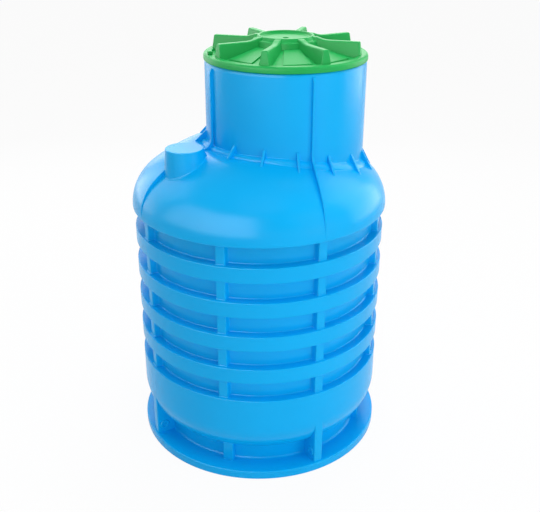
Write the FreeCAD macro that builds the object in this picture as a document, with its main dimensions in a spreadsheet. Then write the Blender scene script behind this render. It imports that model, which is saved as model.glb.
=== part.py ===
import FreeCAD, Part
import math
import os

import Sketcher

# A well caisson: a round, ribbed plastic chamber that is buried over a well head.
# The chamber's axis is Z. The neck stands off that axis towards +X.

# Driving dimensions, in millimetres and degrees.
SIZES = {
    "body_radius": 600.0,
    "wall": 10.0,
    "flange_reach": 10.0,
    "flange_height": 44.0,
    "flange_round": 7.0,
    "floor_thickness": 12.0,
    "foot_inset": 95.0,
    "foot_fillet": 12.0,
    "bowl_radius": 180.0,
    "bowl_spring": 280.0,
    "barrel_height": 440.0,
    "window_height": 94.5,
    "band_height": 74.5,
    "recess_depth": 45.0,
    "recess_fillet": 6.0,
    "mouth_round": 7.0,
    "post_width": 44.0,
    "post_inset": 14.0,
    "fin_width": 44.0,
    "eye_radius": 12.0,
    "eye_collar_radius": 24.0,
    "eye_collar_height": 4.0,
    "eye_rise": 44.0,
    "eye_inset": 37.0,
    "foot_post_width": 50.0,
    "foot_post_depth": 32.0,
    "dome_reach": 8.0,
    "dome_lip": 8.0,
    "knuckle_radius": 202.0,
    "knuckle_angle": 52.4,
    "neck_offset": 140.0,
    "neck_radius": 374.0,
    "neck_height": 665.5,
    "neck_round": 7.0,
    "collar_width": 25.0,
    "collar_height": 8.0,
    "gusset_height": 50.0,
    "gusset_reach": 50.0,
    "gusset_thickness": 11.0,
    "seam_thickness": 8.0,
    "seam_rise": 26.0,
    "seam_depth": 14.0,
    "seam_gap": 14.0,
    "seam_run_out": 30.0,
    "boss_x": -388.0,
    "boss_y": -56.0,
    "boss_radius": 92.0,
    "boss_rise": 67.0,
    "boss_round": 4.0,
    "lid_overhang": 4.0,
    "lid_seat": 0.3,
    "lid_height": 89.0,
    "rim_width": 40.0,
    "rim_height": 30.0,
    "rim_round": 14.0,
    "rim_foot_round": 5.0,
    "deck_thickness": 8.0,
    "deck_margin": 1.0,
    "deck_drop": 9.0,
    "deck_rise": 41.0,
    "pad_height": 6.0,
    "pad_start": 156.0,
    "pad_inset": 29.0,
    "pad_head_width": 72.0,
    "pad_foot_width": 132.0,
    "pad_turn": 2.2,
    "hub_radius": 150.0,
    "hub_round": 9.0,
    "hub_ring_radius": 130.0,
    "hub_ring_width": 12.0,
    "hub_ring_height": 15.0,
    "hub_ring_round": 4.0,
    "hub_socket_radius": 14.0,
    "hub_socket_depth": 12.0,
    "lid_rib_width": 48.0,
    "lid_rib_draft": 13.0,
    "lid_rib_round": 6.0,
    "lid_rib_margin": 28.0,
    "lug_angle": 166.0,
    "lug_length": 22.0,
    "lug_width": 30.0,
    "lug_height": 16.0,
}
WINDOW_ROWS = 5
BAY_COUNT = 8
FIN_COUNT = 4
LID_RIB_COUNT = 8
GUSSET_PITCHES = 16
FULL_TURN = 360.0

doc = FreeCAD.newDocument("well_caisson")
sheet = doc.addObject("Spreadsheet::Sheet", "Sizes")
subparts = []


class Size:
    """A length or angle that keeps its number and the sheet expression it comes from."""

    def __init__(self, number, text):
        self.number = number
        self.text = text

    def __add__(self, other):
        other = as_size(other)
        return Size(self.number + other.number, "(%s + %s)" % (self.text, other.text))

    def __sub__(self, other):
        other = as_size(other)
        return Size(self.number - other.number, "(%s - %s)" % (self.text, other.text))

    def __mul__(self, other):
        other = as_size(other)
        return Size(self.number * other.number, "(%s * %s)" % (self.text, other.text))

    def __truediv__(self, other):
        other = as_size(other)
        return Size(self.number / other.number, "(%s / %s)" % (self.text, other.text))

    def __neg__(self):
        return Size(-self.number, "(0 - %s)" % self.text)


class Sheet:
    """The sheet's sizes, read by name."""

    def __getattr__(self, alias):
        return Size(SIZES[alias], "Sizes." + alias)


S = Sheet()


def as_size(item):
    """Return a plain number as a size, and a size as it is."""
    if isinstance(item, Size):
        return item
    return Size(float(item), repr(float(item)))


def cosine(angle):
    return Size(math.cos(math.radians(angle.number)), "cos(%s)" % angle.text)


def sine(angle):
    return Size(math.sin(math.radians(angle.number)), "sin(%s)" % angle.text)


def arc_tangent(ratio):
    return Size(math.degrees(math.atan(ratio.number)), "(atan(%s) / 1 deg)" % ratio.text)


def root(square):
    return Size(math.sqrt(square.number), "sqrt(%s)" % square.text)


def fill_sheet():
    """Write each driving dimension to its own named cell."""
    for row, (alias, number) in enumerate(SIZES.items(), start=1):
        sheet.set("A%d" % row, alias)
        sheet.set("B%d" % row, repr(number))
        sheet.setAlias("B%d" % row, alias)
    doc.recompute()


def bind(item, **properties):
    """Bind an object's properties to sizes. Two underscores stand for a dot."""
    for name, size in properties.items():
        item.setExpression(name.replace("__", "."), as_size(size).text)
    return item


def place(item, x=0, y=0, z=0, turn=0):
    """Bind an object's place, and its turn about Z, to sizes."""
    bind(item, Placement__Base__x=x, Placement__Base__y=y, Placement__Base__z=z)
    return bind(item, Placement__Rotation__Angle=turn)


def cylinder(name, radius, height, x=0, y=0, z=0, sector=FULL_TURN):
    item = doc.addObject("Part::Cylinder", name)
    bind(item, Radius=radius, Height=height, Angle=sector)
    return place(item, x, y, z)


def box(name, length, width, height, x=0, y=0, z=0):
    item = doc.addObject("Part::Box", name)
    bind(item, Length=length, Width=width, Height=height)
    return place(item, x, y, z)


def cut(name, base, tool):
    item = doc.addObject("Part::Cut", name)
    item.Base = base
    item.Tool = tool
    return item


def common(name, base, tool):
    item = doc.addObject("Part::Common", name)
    item.Base = base
    item.Tool = tool
    return item


def fuse(name, shapes):
    item = doc.addObject("Part::MultiFuse", name)
    item.Shapes = shapes
    return item


def ring(name, outer, inner, height, x=0, y=0, z=0, sector=FULL_TURN):
    """A plain tube, or a sector of one."""
    outside = cylinder(name + "_outside", outer, height, x, y, z, sector)
    inside = cylinder(name + "_inside", inner, height, x, y, z, sector)
    return cut(name, outside, inside)


def copy_at(name, source, x=0, y=0, z=0, turn=0):
    """A copy of another object, moved and turned about Z."""
    item = doc.addObject("Part::Compound", name)
    item.Links = [source]
    return place(item, x, y, z, turn)


def group(name, sources):
    """Several solids that stand apart, in one object."""
    item = doc.addObject("Part::Compound", name)
    item.Links = sources
    return item


def keep(item, label):
    """Name an object as a finished sub-part."""
    item.Label = label
    subparts.append(item)
    return item


def arc_between(start, end, radius, left):
    """An arc from start to end, with its centre on the left or the right of the way."""
    chord = end.sub(start)
    middle = start.add(chord.multiply(0.5))
    half = end.sub(start).Length / 2.0
    rise = math.sqrt(max(radius ** 2 - half ** 2, 0.0))
    normal = FreeCAD.Vector(-(end.y - start.y), end.x - start.x, 0).normalize()
    centre = middle.add(normal.multiply(rise if left else -rise))
    first = math.atan2(start.y - centre.y, start.x - centre.x)
    last = math.atan2(end.y - centre.y, end.x - centre.x)
    if not left:
        first, last = last, first
    circle = Part.Circle(centre, FreeCAD.Vector(0, 0, 1), radius)
    return Part.ArcOfCircle(circle, first, last)


def origin_plane(body, role):
    return next(item for item in body.Origin.OriginFeatures if item.Role == role)


def profile(body, name, role, outline):
    """Draw a closed, fully sized outline.

    Each entry is (x, y) where a straight line leaves that point, or (x, y, radius, left)
    where an arc leaves it, with its centre on the left or the right of the way.
    """
    sketch = body.newObject("Sketcher::SketchObject", name)
    sketch.AttachmentSupport = [(origin_plane(body, role), "")]
    sketch.MapMode = "FlatFace"
    points = [FreeCAD.Vector(as_size(p[0]).number, as_size(p[1]).number, 0) for p in outline]
    ends = []
    for index, entry in enumerate(outline):
        start = points[index]
        end = points[(index + 1) % len(points)]
        if len(entry) == 2:
            edge = sketch.addGeometry(Part.LineSegment(start, end))
            ends.append((edge, 1, 2))
            continue
        radius, left = entry[2], entry[3]
        edge = sketch.addGeometry(arc_between(start, end, as_size(radius).number, left))
        ends.append((edge, 1, 2) if left else (edge, 2, 1))
        mark = sketch.addConstraint(Sketcher.Constraint("Radius", edge, as_size(radius).number))
        sketch.setExpression("Constraints[%d]" % mark, as_size(radius).text)
    for index, (edge, first, last) in enumerate(ends):
        following, follow_first, follow_last = ends[(index + 1) % len(ends)]
        sketch.addConstraint(Sketcher.Constraint("Coincident", edge, last, following, follow_first))
    for index, (edge, first, last) in enumerate(ends):
        for kind, axis, size in (("DistanceX", -2, outline[index][0]), ("DistanceY", -1, outline[index][1])):
            size = as_size(size)
            if size.number == 0.0:
                sketch.addConstraint(Sketcher.Constraint("PointOnObject", edge, first, axis))
                continue
            mark = sketch.addConstraint(Sketcher.Constraint(kind, -1, 1, edge, first, size.number))
            sketch.setExpression("Constraints[%d]" % mark, size.text)
    return sketch


def revolved(name, outline, x=0, z=0):
    """A solid of revolution about an upright axis."""
    body = doc.addObject("PartDesign::Body", name)
    sketch = profile(body, name + "_outline", "XZ_Plane", outline)
    turned = body.newObject("PartDesign::Revolution", name + "_turned")
    turned.Profile = sketch
    turned.ReferenceAxis = (sketch, ["V_Axis"])
    turned.Angle = FULL_TURN
    body.Tip = turned
    return place(body, x=x, z=z)


def shoulder_level():
    """Height of the shoulder's lower edge."""
    return S.barrel_height + S.window_height * WINDOW_ROWS + S.band_height * (WINDOW_ROWS - 1)


def recess_radius():
    return S.body_radius - S.recess_depth


def foot_radius():
    return S.body_radius - S.foot_inset


def dome_radius():
    return S.body_radius + S.dome_reach


def neck_top():
    return shoulder_level() + S.neck_height


def lid_radius():
    return S.neck_radius + S.lid_overhang


def lid_seat_level():
    return neck_top() + S.lid_seat


def bowl_edge(radius, inset):
    """Height at which the bowl's arc, moved in by an inset, meets an upright wall."""
    run = radius - S.body_radius + S.bowl_radius
    reach = S.bowl_radius - inset
    return S.bowl_spring - root(reach * reach - run * run)


def dome_spring():
    return shoulder_level() + S.dome_lip


def knuckle_centre():
    """Radius of the circle on which the knuckle's arc has its centre."""
    return dome_radius() - S.knuckle_radius


def crown_radius():
    """The crown's arc has its centre on the axis and runs on smoothly from the knuckle."""
    return S.knuckle_radius + knuckle_centre() / cosine(S.knuckle_angle)


def crown_centre():
    """Height of the crown arc's centre."""
    return dome_spring() + (S.knuckle_radius - crown_radius()) * sine(S.knuckle_angle)


def boss_top():
    """The boss's top stands at a set height over the dome below its middle."""
    crown = crown_radius()
    height = crown_centre() + root(crown * crown - S.boss_x * S.boss_x - S.boss_y * S.boss_y)
    return height + S.boss_rise


def dome_solid(name, offset, lip):
    """The solid below the dome, with its surface moved out by an offset."""
    level = shoulder_level()
    spring = dome_spring()
    edge = dome_radius() + offset
    knuckle = S.knuckle_radius + offset
    crown = crown_radius() + offset
    join_x = knuckle_centre() + knuckle * cosine(S.knuckle_angle)
    join_z = spring + knuckle * sine(S.knuckle_angle)
    if lip:
        foot = [(edge - S.dome_lip, level, S.dome_lip, True)]
    else:
        foot = [(edge, level)]
    outline = [(0, level)] + foot + [
        (edge, spring, knuckle, True),
        (join_x, join_z, crown, True),
        (0, crown_centre() + crown),
    ]
    return revolved(name, outline)


def dome_height(x, y):
    """Height of the dome's outside above a point of the plan, as a number."""
    reach = math.hypot(x, y)
    knuckle = S.knuckle_radius.number
    centre = knuckle_centre().number
    if reach > centre + knuckle * cosine(S.knuckle_angle).number:
        run = min(reach - centre, knuckle)
        return dome_spring().number + math.sqrt(knuckle ** 2 - run ** 2)
    return crown_centre().number + math.sqrt(crown_radius().number ** 2 - reach ** 2)


def make_base():
    """The flange, the floor and the foot wall."""
    rim = S.body_radius + S.flange_reach
    round_off = S.flange_round
    fillet = S.foot_fillet
    outer = foot_radius()
    flange = revolved("Flange", [
        (outer, 0),
        (rim - round_off, 0, round_off, True),
        (rim, round_off),
        (rim, S.flange_height - round_off, round_off, True),
        (rim - round_off, S.flange_height),
        (outer + fillet, S.flange_height, fillet, False),
        (outer, S.flange_height + fillet),
    ])
    keep(flange, "base_flange")
    keep(cylinder("Floor", outer, S.floor_thickness), "floor_plate")
    inner = outer - S.wall
    foot = revolved("Foot", [
        (inner, S.floor_thickness),
        (outer, S.floor_thickness),
        (outer, bowl_edge(outer, 0)),
        (inner, bowl_edge(inner, S.wall)),
    ])
    keep(foot, "foot_wall")


def make_lower_barrel():
    """The bowl-shaped lower wall, with the ledge below the first windows."""
    outer_foot = foot_radius()
    inner_foot = outer_foot - S.wall
    inner = S.body_radius - S.wall
    ledge = recess_radius() - S.wall
    round_off = S.mouth_round
    barrel = revolved("Barrel", [
        (outer_foot, bowl_edge(outer_foot, 0), S.bowl_radius, True),
        (S.body_radius, S.bowl_spring),
        (S.body_radius, S.barrel_height - round_off, round_off, True),
        (S.body_radius - round_off, S.barrel_height),
        (ledge, S.barrel_height),
        (ledge, S.barrel_height - S.wall),
        (inner, S.barrel_height - S.wall),
        (inner, S.bowl_spring, S.bowl_radius - S.wall, False),
        (inner_foot, bowl_edge(inner_foot, S.wall)),
    ])
    keep(barrel, "lower_barrel")


def make_bowl_core():
    """The solid inside the foot wall and the bowl, to trim what stands against them."""
    outer_foot = foot_radius()
    fillet = S.foot_fillet
    return revolved("BowlCore", [
        (0, S.flange_height),
        (outer_foot + fillet, S.flange_height, fillet, False),
        (outer_foot, S.flange_height + fillet),
        (outer_foot, bowl_edge(outer_foot, 0), S.bowl_radius, True),
        (S.body_radius, S.bowl_spring),
        (0, S.bowl_spring),
    ])


def make_fins(bowl_core):
    """Four fins under the bowl, each with a collared eye for a tie-down."""
    height = S.bowl_spring - S.flange_height
    width = S.fin_width
    blank = box("FinBlank", S.body_radius, width, height, y=-width / 2, z=S.flange_height)
    round_wall = cylinder("FinRound", S.body_radius, height, z=S.flange_height)
    plate = cut("FinPlate", common("FinFace", blank, round_wall), bowl_core)
    eye_x = S.body_radius - S.eye_inset
    collar_length = width + S.eye_collar_height * 2
    collar = doc.addObject("Part::Cylinder", "EyeCollar")
    bore = doc.addObject("Part::Cylinder", "EyeBore")
    for item, radius in ((collar, S.eye_collar_radius), (bore, S.eye_radius)):
        bind(item, Radius=radius, Height=collar_length)
        item.Placement.Rotation = FreeCAD.Rotation(FreeCAD.Vector(1, 0, 0), 90)
        bind(item, Placement__Base__x=eye_x, Placement__Base__y=collar_length / 2)
        bind(item, Placement__Base__z=S.flange_height + S.eye_rise)
    fin = cut("Fin", fuse("FinWithCollar", [plate, collar]), bore)
    for index, side in enumerate(("right", "back", "left", "front")):
        turned = copy_at("Fin_" + side, fin, turn=index * FULL_TURN / FIN_COUNT)
        keep(turned, "base_fin_" + side)


def make_foot_posts(bowl_core):
    """Four short posts on the foot wall, half-way between the fins."""
    height = S.bowl_spring - S.flange_height
    width = S.foot_post_width
    reach = foot_radius() + S.foot_post_depth
    blank = box("FootPostBlank", reach, width, height, y=-width / 2, z=S.flange_height)
    round_wall = cylinder("FootPostRound", reach, height, z=S.flange_height)
    post = cut("FootPost", common("FootPostFace", blank, round_wall), bowl_core)
    step = FULL_TURN / FIN_COUNT
    posts = [
        copy_at("FootPost_%d" % index, post, turn=(index + 0.5) * step)
        for index in range(FIN_COUNT)
    ]
    keep(group("FootPosts", posts), "foot_posts")


def make_wall_bays():
    """Eight bays of the ribbed wall, each with a row of sunk windows between two half posts."""
    sector = FULL_TURN / BAY_COUNT
    base = S.barrel_height
    height = shoulder_level() - base
    recess = recess_radius()
    skin = ring("BaySkin", S.body_radius, S.body_radius - S.wall, height, z=base, sector=sector)
    pans = []
    sinks = []
    for row in range(WINDOW_ROWS):
        level = base + (S.window_height + S.band_height) * row
        pan_height = S.window_height + S.wall * 2
        pans.append(ring("Pan_%d" % row, S.body_radius, recess - S.wall, pan_height,
                         z=level - S.wall, sector=sector))
        sinks.append(window_sink("Sink_%d" % row, level))
    reach = S.body_radius - S.post_inset
    inside = bay_posts("PostHollow", S.post_width - S.wall * 2, reach - S.wall, base, height, sector)
    outside = bay_posts("PostFace", S.post_width, reach, base, height, sector)
    trim = cylinder("BayTrim", S.body_radius, height, z=base, sector=sector)
    pan = common("BayPans", cut("BayPanSides", fuse("PanStack", pans), inside), trim)
    sink = cut("BaySinks", fuse("SinkStack", sinks), outside)
    bay = cut("Bay", fuse("BayWall", [skin, pan]), sink)
    for index in range(BAY_COUNT):
        turned = copy_at("Bay_%d" % (index + 1), bay, turn=index * sector)
        keep(turned, "wall_bay_%d" % (index + 1))


def window_sink(name, level):
    """A ring as high as a window, with a filleted floor and a mouth that opens in a round."""
    floor = recess_radius()
    fillet = S.recess_fillet
    mouth = S.mouth_round
    face = S.body_radius
    clear = face + S.wall
    low = level
    high = level + S.window_height
    return revolved(name, [
        (floor + fillet, low),
        (face - mouth, low, mouth, False),
        (face, low - mouth),
        (clear, low - mouth),
        (clear, high + mouth),
        (face, high + mouth, mouth, False),
        (face - mouth, high),
        (floor + fillet, high, fillet, True),
        (floor, high - fillet),
        (floor, low + fillet, fillet, True),
    ])


def bay_posts(name, width, reach, base, height, sector):
    """The two upright slabs, at a bay's ends, that stay out of its windows, set back from the bands."""
    half = width / 2
    mouth = S.mouth_round
    body = doc.addObject("PartDesign::Body", name + "_first")
    section = profile(body, name + "_section", "XY_Plane", [
        (0, -half),
        (reach - mouth, -half, mouth, True),
        (reach, mouth - half),
        (reach, half - mouth, mouth, True),
        (reach - mouth, half),
        (0, half),
    ])
    slab = body.newObject("PartDesign::Pad", name + "_slab")
    slab.Profile = section
    bind(slab, Length=height)
    body.Tip = slab
    place(body, z=base)
    last = copy_at(name + "_last", body, turn=sector)
    return fuse(name, [body, last])


def make_shoulder(outer, inner):
    """The dome, open where the neck stands and under the entry boss, with a ledge below it."""
    level = shoulder_level()
    ledge = ring("ShoulderLedge", dome_radius(), recess_radius() - S.wall, S.wall, z=level)
    shell = cut("DomeShell", outer, cut("DomeHollow", inner, ledge))
    way = cylinder("NeckWay", S.neck_radius, S.neck_height, x=S.neck_offset, z=level)
    open_shell = cut("DomeWithNeckWay", shell, way)
    bore = cylinder("BossWay", S.boss_radius - S.wall, boss_top() - level - S.wall,
                    x=S.boss_x, y=S.boss_y, z=level + S.wall)
    keep(cut("Shoulder", open_shell, bore), "shoulder_dome")


def make_neck(outer, inner):
    """The neck's wall and the raised collar that follows its foot over the dome."""
    level = shoulder_level()
    top = neck_top()
    radius = S.neck_radius
    round_off = S.neck_round
    tube = revolved("NeckTube", [
        (radius - S.wall, level),
        (radius, level),
        (radius, top - round_off, round_off, True),
        (radius - round_off, top),
        (radius - S.wall, top),
    ], x=S.neck_offset)
    keep(cut("Neck", tube, inner), "neck_wall")
    layer = cut("CollarLayer", dome_solid("CollarDome", S.collar_height, False), outer)
    width = ring("CollarWidth", radius + S.collar_width, radius, S.neck_height, x=S.neck_offset, z=level)
    return keep(common("Collar", layer, width), "neck_collar")


def make_entry_boss(outer):
    """The flat-topped boss on the shoulder where a pipe or cable gland is fitted."""
    level = shoulder_level()
    top = boss_top()
    round_off = S.boss_round
    radius = S.boss_radius
    cup = revolved("BossCup", [
        (0, top - S.wall),
        (radius - S.wall, top - S.wall),
        (radius - S.wall, level),
        (radius, level),
        (radius, top - round_off, round_off, True),
        (radius - round_off, top),
        (0, top),
    ], x=S.boss_x)
    bind(cup, Placement__Base__y=S.boss_y)
    keep(cut("EntryBoss", cup, outer), "entry_boss")


def make_shoulder_core(outer, collar):
    """All that the seam ribs and gussets stand against."""
    level = shoulder_level()
    neck = cylinder("NeckCore", S.neck_radius, S.neck_height, x=S.neck_offset, z=level)
    boss = cylinder("BossCore", S.boss_radius, boss_top() - level, x=S.boss_x, y=S.boss_y, z=level)
    return fuse("ShoulderCore", [outer, neck, collar, boss])


def make_seam_ribs(outer, core):
    """Four thin ribs that run down the neck and out over the dome, fading at its edge."""
    level = shoulder_level()
    reach = S.neck_radius + S.seam_depth
    straight = neck_top() - S.seam_gap - S.seam_run_out
    upright = cylinder("SeamUpright", reach, straight - level, x=S.neck_offset, z=level)
    run_out = doc.addObject("Part::Cone", "SeamRunOut")
    bind(run_out, Radius1=reach, Radius2=S.neck_radius, Height=S.seam_run_out)
    place(run_out, x=S.neck_offset, z=straight)
    raised = copy_at("SeamDome", outer, z=S.seam_rise)
    envelope = fuse("SeamEnvelope", [raised, upright, run_out])
    length = dome_radius() + S.neck_offset
    slab = box("SeamSlab", length, S.seam_thickness, S.neck_height, y=-S.seam_thickness / 2, z=level)
    lean = arc_tangent(S.neck_offset / S.body_radius)
    sides = (("right", as_size(0)), ("back", lean + 90), ("left", as_size(180)), ("front", -(lean + 90)))
    for side, angle in sides:
        plate = copy_at("SeamSlab_" + side, slab, x=S.neck_offset, turn=angle)
        rib = cut("Seam_" + side, common("SeamPlate_" + side, plate, envelope), core)
        keep(rib, "seam_rib_" + side)


def make_gussets(core):
    """Small triangular gussets between the neck and the dome, left out where a seam rib runs."""
    radius = SIZES["neck_radius"]
    reach = radius + SIZES["gusset_reach"]
    thickness = SIZES["gusset_thickness"]
    offset = SIZES["neck_offset"]
    blanks = []
    for index in range(GUSSET_PITCHES):
        if index % (GUSSET_PITCHES // 2) == 0:
            continue
        turn = index * FULL_TURN / GUSSET_PITCHES
        across = math.cos(math.radians(turn))
        along = math.sin(math.radians(turn))
        top = dome_height(offset + radius * across, radius * along) + SIZES["gusset_height"]
        foot = dome_height(offset + reach * across, reach * along)
        inner = radius - thickness
        low = foot - SIZES["gusset_height"]
        corners = [(inner, low), (reach, low), (reach, foot), (radius, top), (inner, top)]
        edge = [FreeCAD.Vector(u, -thickness / 2, z) for u, z in corners]
        face = Part.Face(Part.makePolygon(edge + edge[:1]))
        plate = face.extrude(FreeCAD.Vector(0, thickness, 0))
        plate.rotate(FreeCAD.Vector(0, 0, 0), FreeCAD.Vector(0, 0, 1), turn)
        plate.translate(FreeCAD.Vector(offset, 0, 0))
        blanks.append(plate)
    blank = doc.addObject("Part::Feature", "GussetBlanks")
    blank.Shape = Part.makeCompound(blanks)
    keep(cut("Gussets", blank, core), "neck_gussets")


def deck_pyramid(name, drop):
    """The lid's eight-sided slope, moved down by a drop."""
    inner_edge = lid_radius() - S.rim_width
    low = lid_seat_level() + S.rim_height - S.deck_drop - drop
    sections = []
    for step, radius, level in (
        ("Foot", inner_edge - S.deck_margin, low),
        ("Head", S.hub_radius, low + S.deck_rise),
    ):
        polygon = doc.addObject("Part::RegularPolygon", name + step)
        polygon.Polygon = LID_RIB_COUNT
        bind(polygon, Circumradius=radius)
        sections.append(place(polygon, x=S.neck_offset, z=level))
    loft = doc.addObject("Part::Loft", name)
    loft.Sections = sections
    loft.Solid = True
    loft.Ruled = True
    return loft


def make_lid():
    """The lid: a round rim, an eight-sided slope, a hub and eight radial ribs."""
    seat = lid_seat_level()
    rim_top = seat + S.rim_height
    shelf_top = rim_top - S.deck_drop
    edge = lid_radius()
    inner_edge = edge - S.rim_width
    low_round = S.rim_foot_round
    high_round = S.rim_round
    bead_round = S.rim_foot_round
    rim = revolved("Rim", [
        (inner_edge, seat),
        (edge - low_round, seat, low_round, True),
        (edge, seat + low_round),
        (edge, rim_top - high_round, high_round, True),
        (edge - high_round, rim_top),
        (inner_edge + bead_round, rim_top, bead_round, True),
        (inner_edge, rim_top - bead_round),
    ], x=S.neck_offset)
    keep(rim, "lid_rim")
    slope = deck_pyramid("DeckOutside", as_size(0))
    under = deck_pyramid("DeckInside", S.deck_thickness)
    shelf = cylinder("DeckShelf", inner_edge, S.deck_thickness, x=S.neck_offset,
                     z=shelf_top - S.deck_thickness)
    hub_core = cylinder("HubCore", S.hub_radius, S.lid_height, x=S.neck_offset, z=seat)
    deck_blank = cut("DeckBlank", fuse("DeckFull", [slope, shelf]), under)
    pads = make_lid_pads(slope, inner_edge)
    keep(cut("Deck", fuse("DeckWithPads", [deck_blank, pads]), hub_core), "lid_deck")
    make_lid_hub(shelf_top)
    rim_solid = cylinder("RimDisc", edge, S.rim_height, x=S.neck_offset, z=seat)
    trough = cylinder("RimTrough", inner_edge, S.deck_drop, x=S.neck_offset, z=shelf_top)
    lid_core = fuse("LidCore", [slope, pads, cut("RimCore", rim_solid, trough), hub_core])
    make_lid_ribs(shelf_top, lid_core)
    make_lid_lug(rim_top)


def make_lid_pads(slope, inner_edge):
    """Eight raised trapezoid pads on the slope, each turned a little away from every other rib."""
    raised = deck_pyramid("PadTop", -S.pad_height)
    layer = cut("PadLayer", raised, slope)
    head = S.pad_head_width / 2
    foot = S.pad_foot_width / 2
    end = inner_edge - S.pad_inset
    body = doc.addObject("PartDesign::Body", "PadBlank")
    section = profile(body, "PadBlank_section", "XY_Plane", [
        (S.pad_start, -head),
        (end, -foot),
        (end, foot),
        (S.pad_start, head),
    ])
    block = body.newObject("PartDesign::Pad", "PadBlank_block")
    block.Profile = section
    bind(block, Length=S.lid_height)
    body.Tip = block
    step = FULL_TURN / LID_RIB_COUNT
    blanks = []
    for index in range(LID_RIB_COUNT):
        shift = S.pad_turn if index % 2 else -S.pad_turn
        blanks.append(copy_at("PadBlank_%d" % index, body, x=S.neck_offset, z=lid_seat_level(),
                              turn=shift + (index + 0.5) * step))
    return common("Pads", layer, group("PadBlanks", blanks))


def make_lid_hub(foot):
    """The flat hub, with a raised ring around it and a socket in its middle."""
    top = lid_seat_level() + S.lid_height
    crest = top + S.hub_ring_height
    ring_inside = S.hub_ring_radius - S.hub_ring_width
    hub = revolved("Hub", [
        (0, foot),
        (S.hub_radius, foot),
        (S.hub_radius, top - S.hub_round, S.hub_round, True),
        (S.hub_radius - S.hub_round, top),
        (S.hub_ring_radius, top),
        (S.hub_ring_radius, crest - S.hub_ring_round, S.hub_ring_round, True),
        (S.hub_ring_radius - S.hub_ring_round, crest),
        (ring_inside + S.hub_ring_round, crest, S.hub_ring_round, True),
        (ring_inside, crest - S.hub_ring_round),
        (ring_inside, top),
        (S.hub_socket_radius, top),
        (S.hub_socket_radius, top - S.hub_socket_depth),
        (0, top - S.hub_socket_depth),
    ], x=S.neck_offset)
    keep(hub, "lid_hub")


def make_lid_ribs(shelf_top, lid_core):
    """Eight ribs with sloping sides and a round back, from the hub to upright ends above the rim."""
    top = lid_seat_level() + S.lid_height
    half = S.lid_rib_width / 2
    head = half - S.lid_rib_draft
    round_off = S.lid_rib_round
    body = doc.addObject("PartDesign::Body", "LidRib")
    section = profile(body, "LidRib_section", "YZ_Plane", [
        (-half, shelf_top),
        (half, shelf_top),
        (head, top - round_off, round_off, True),
        (head - round_off, top),
        (round_off - head, top, round_off, True),
        (-head, top - round_off),
    ])
    bar = body.newObject("PartDesign::Pad", "LidRib_bar")
    bar.Profile = section
    bind(bar, Length=lid_radius() - S.lid_rib_margin)
    body.Tip = bar
    for index in range(LID_RIB_COUNT):
        turn = index * FULL_TURN / LID_RIB_COUNT
        bar_copy = copy_at("LidBar_%d" % (index + 1), body, x=S.neck_offset, turn=turn)
        keep(cut("LidRibCut_%d" % (index + 1), bar_copy, lid_core), "lid_rib_%d" % (index + 1))


def make_lid_lug(rim_top):
    """The small lug on the rim by which the lid is held."""
    start = lid_radius() - S.rim_round - S.lug_length
    blank = box("LugBlank", S.lug_length, S.lug_width, S.lug_height, x=start,
                y=-S.lug_width / 2, z=rim_top)
    keep(copy_at("Lug", blank, x=S.neck_offset, turn=S.lug_angle), "lid_lug")


def check_and_write():
    """Check every object, then write each sub-part to its own file."""
    doc.recompute()
    for item in doc.Objects:
        if "Invalid" in item.State or "Error" in item.State:
            raise RuntimeError("%s failed: %s" % (item.Name, item.State))
    for item in subparts:
        if item.Shape.isNull() or not item.Shape.isValid() or not item.Shape.Solids:
            raise RuntimeError("%s has no valid solid" % item.Label)
    os.makedirs("parts", exist_ok=True)
    for item in subparts:
        item.Shape.exportStep("parts/%s.step" % item.Label)
        print("%-18s %2d solid(s) %10.1f cm3" % (item.Label, len(item.Shape.Solids), item.Shape.Volume / 1000))


def main():
    fill_sheet()
    make_base()
    make_lower_barrel()
    bowl_core = make_bowl_core()
    make_fins(bowl_core)
    make_foot_posts(bowl_core)
    make_wall_bays()
    outer = dome_solid("DomeOutside", as_size(0), True)
    inner = dome_solid("DomeInside", -S.wall, False)
    make_shoulder(outer, inner)
    collar = make_neck(outer, inner)
    make_entry_boss(outer)
    core = make_shoulder_core(outer, collar)
    make_seam_ribs(outer, core)
    make_gussets(core)
    make_lid()
    check_and_write()


main()
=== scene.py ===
"""Well caisson: a ribbed plastic chamber with an offset neck and a lift-off lid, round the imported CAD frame."""

import logging
import math
from dataclasses import dataclass, field
from enum import Enum
from typing import Iterable, Sequence, Union

import bmesh
import bpy
from bmesh.types import BMEdge, BMFace, BMVert
from mathutils import Matrix, Vector


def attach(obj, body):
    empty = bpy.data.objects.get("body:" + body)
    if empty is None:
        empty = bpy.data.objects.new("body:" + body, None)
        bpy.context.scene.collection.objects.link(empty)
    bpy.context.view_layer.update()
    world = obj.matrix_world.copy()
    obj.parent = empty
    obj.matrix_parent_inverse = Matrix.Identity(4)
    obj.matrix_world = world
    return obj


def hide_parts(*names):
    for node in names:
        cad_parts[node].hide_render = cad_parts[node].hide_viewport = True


LOG = logging.getLogger("well_caisson")
FULL_TURN = 2.0 * math.pi
RIGHT_ANGLE = math.pi / 2.0
MERGE = 0.00002
NOISE_MIDDLE = 0.5
WHITE = (1.0, 1.0, 1.0, 1.0)

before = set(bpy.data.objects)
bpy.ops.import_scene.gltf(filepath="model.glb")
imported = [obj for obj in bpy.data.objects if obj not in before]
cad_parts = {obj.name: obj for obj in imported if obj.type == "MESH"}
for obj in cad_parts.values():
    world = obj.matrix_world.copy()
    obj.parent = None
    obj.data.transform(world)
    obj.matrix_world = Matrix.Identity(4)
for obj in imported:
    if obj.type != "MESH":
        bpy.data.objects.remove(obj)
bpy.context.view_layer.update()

Point = tuple[float, float]
Place = tuple[float, float, float]
Colour = tuple[float, float, float, float]
Station = tuple[Point, Point]
Value = Union["Sock", float, Sequence[float]]


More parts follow.
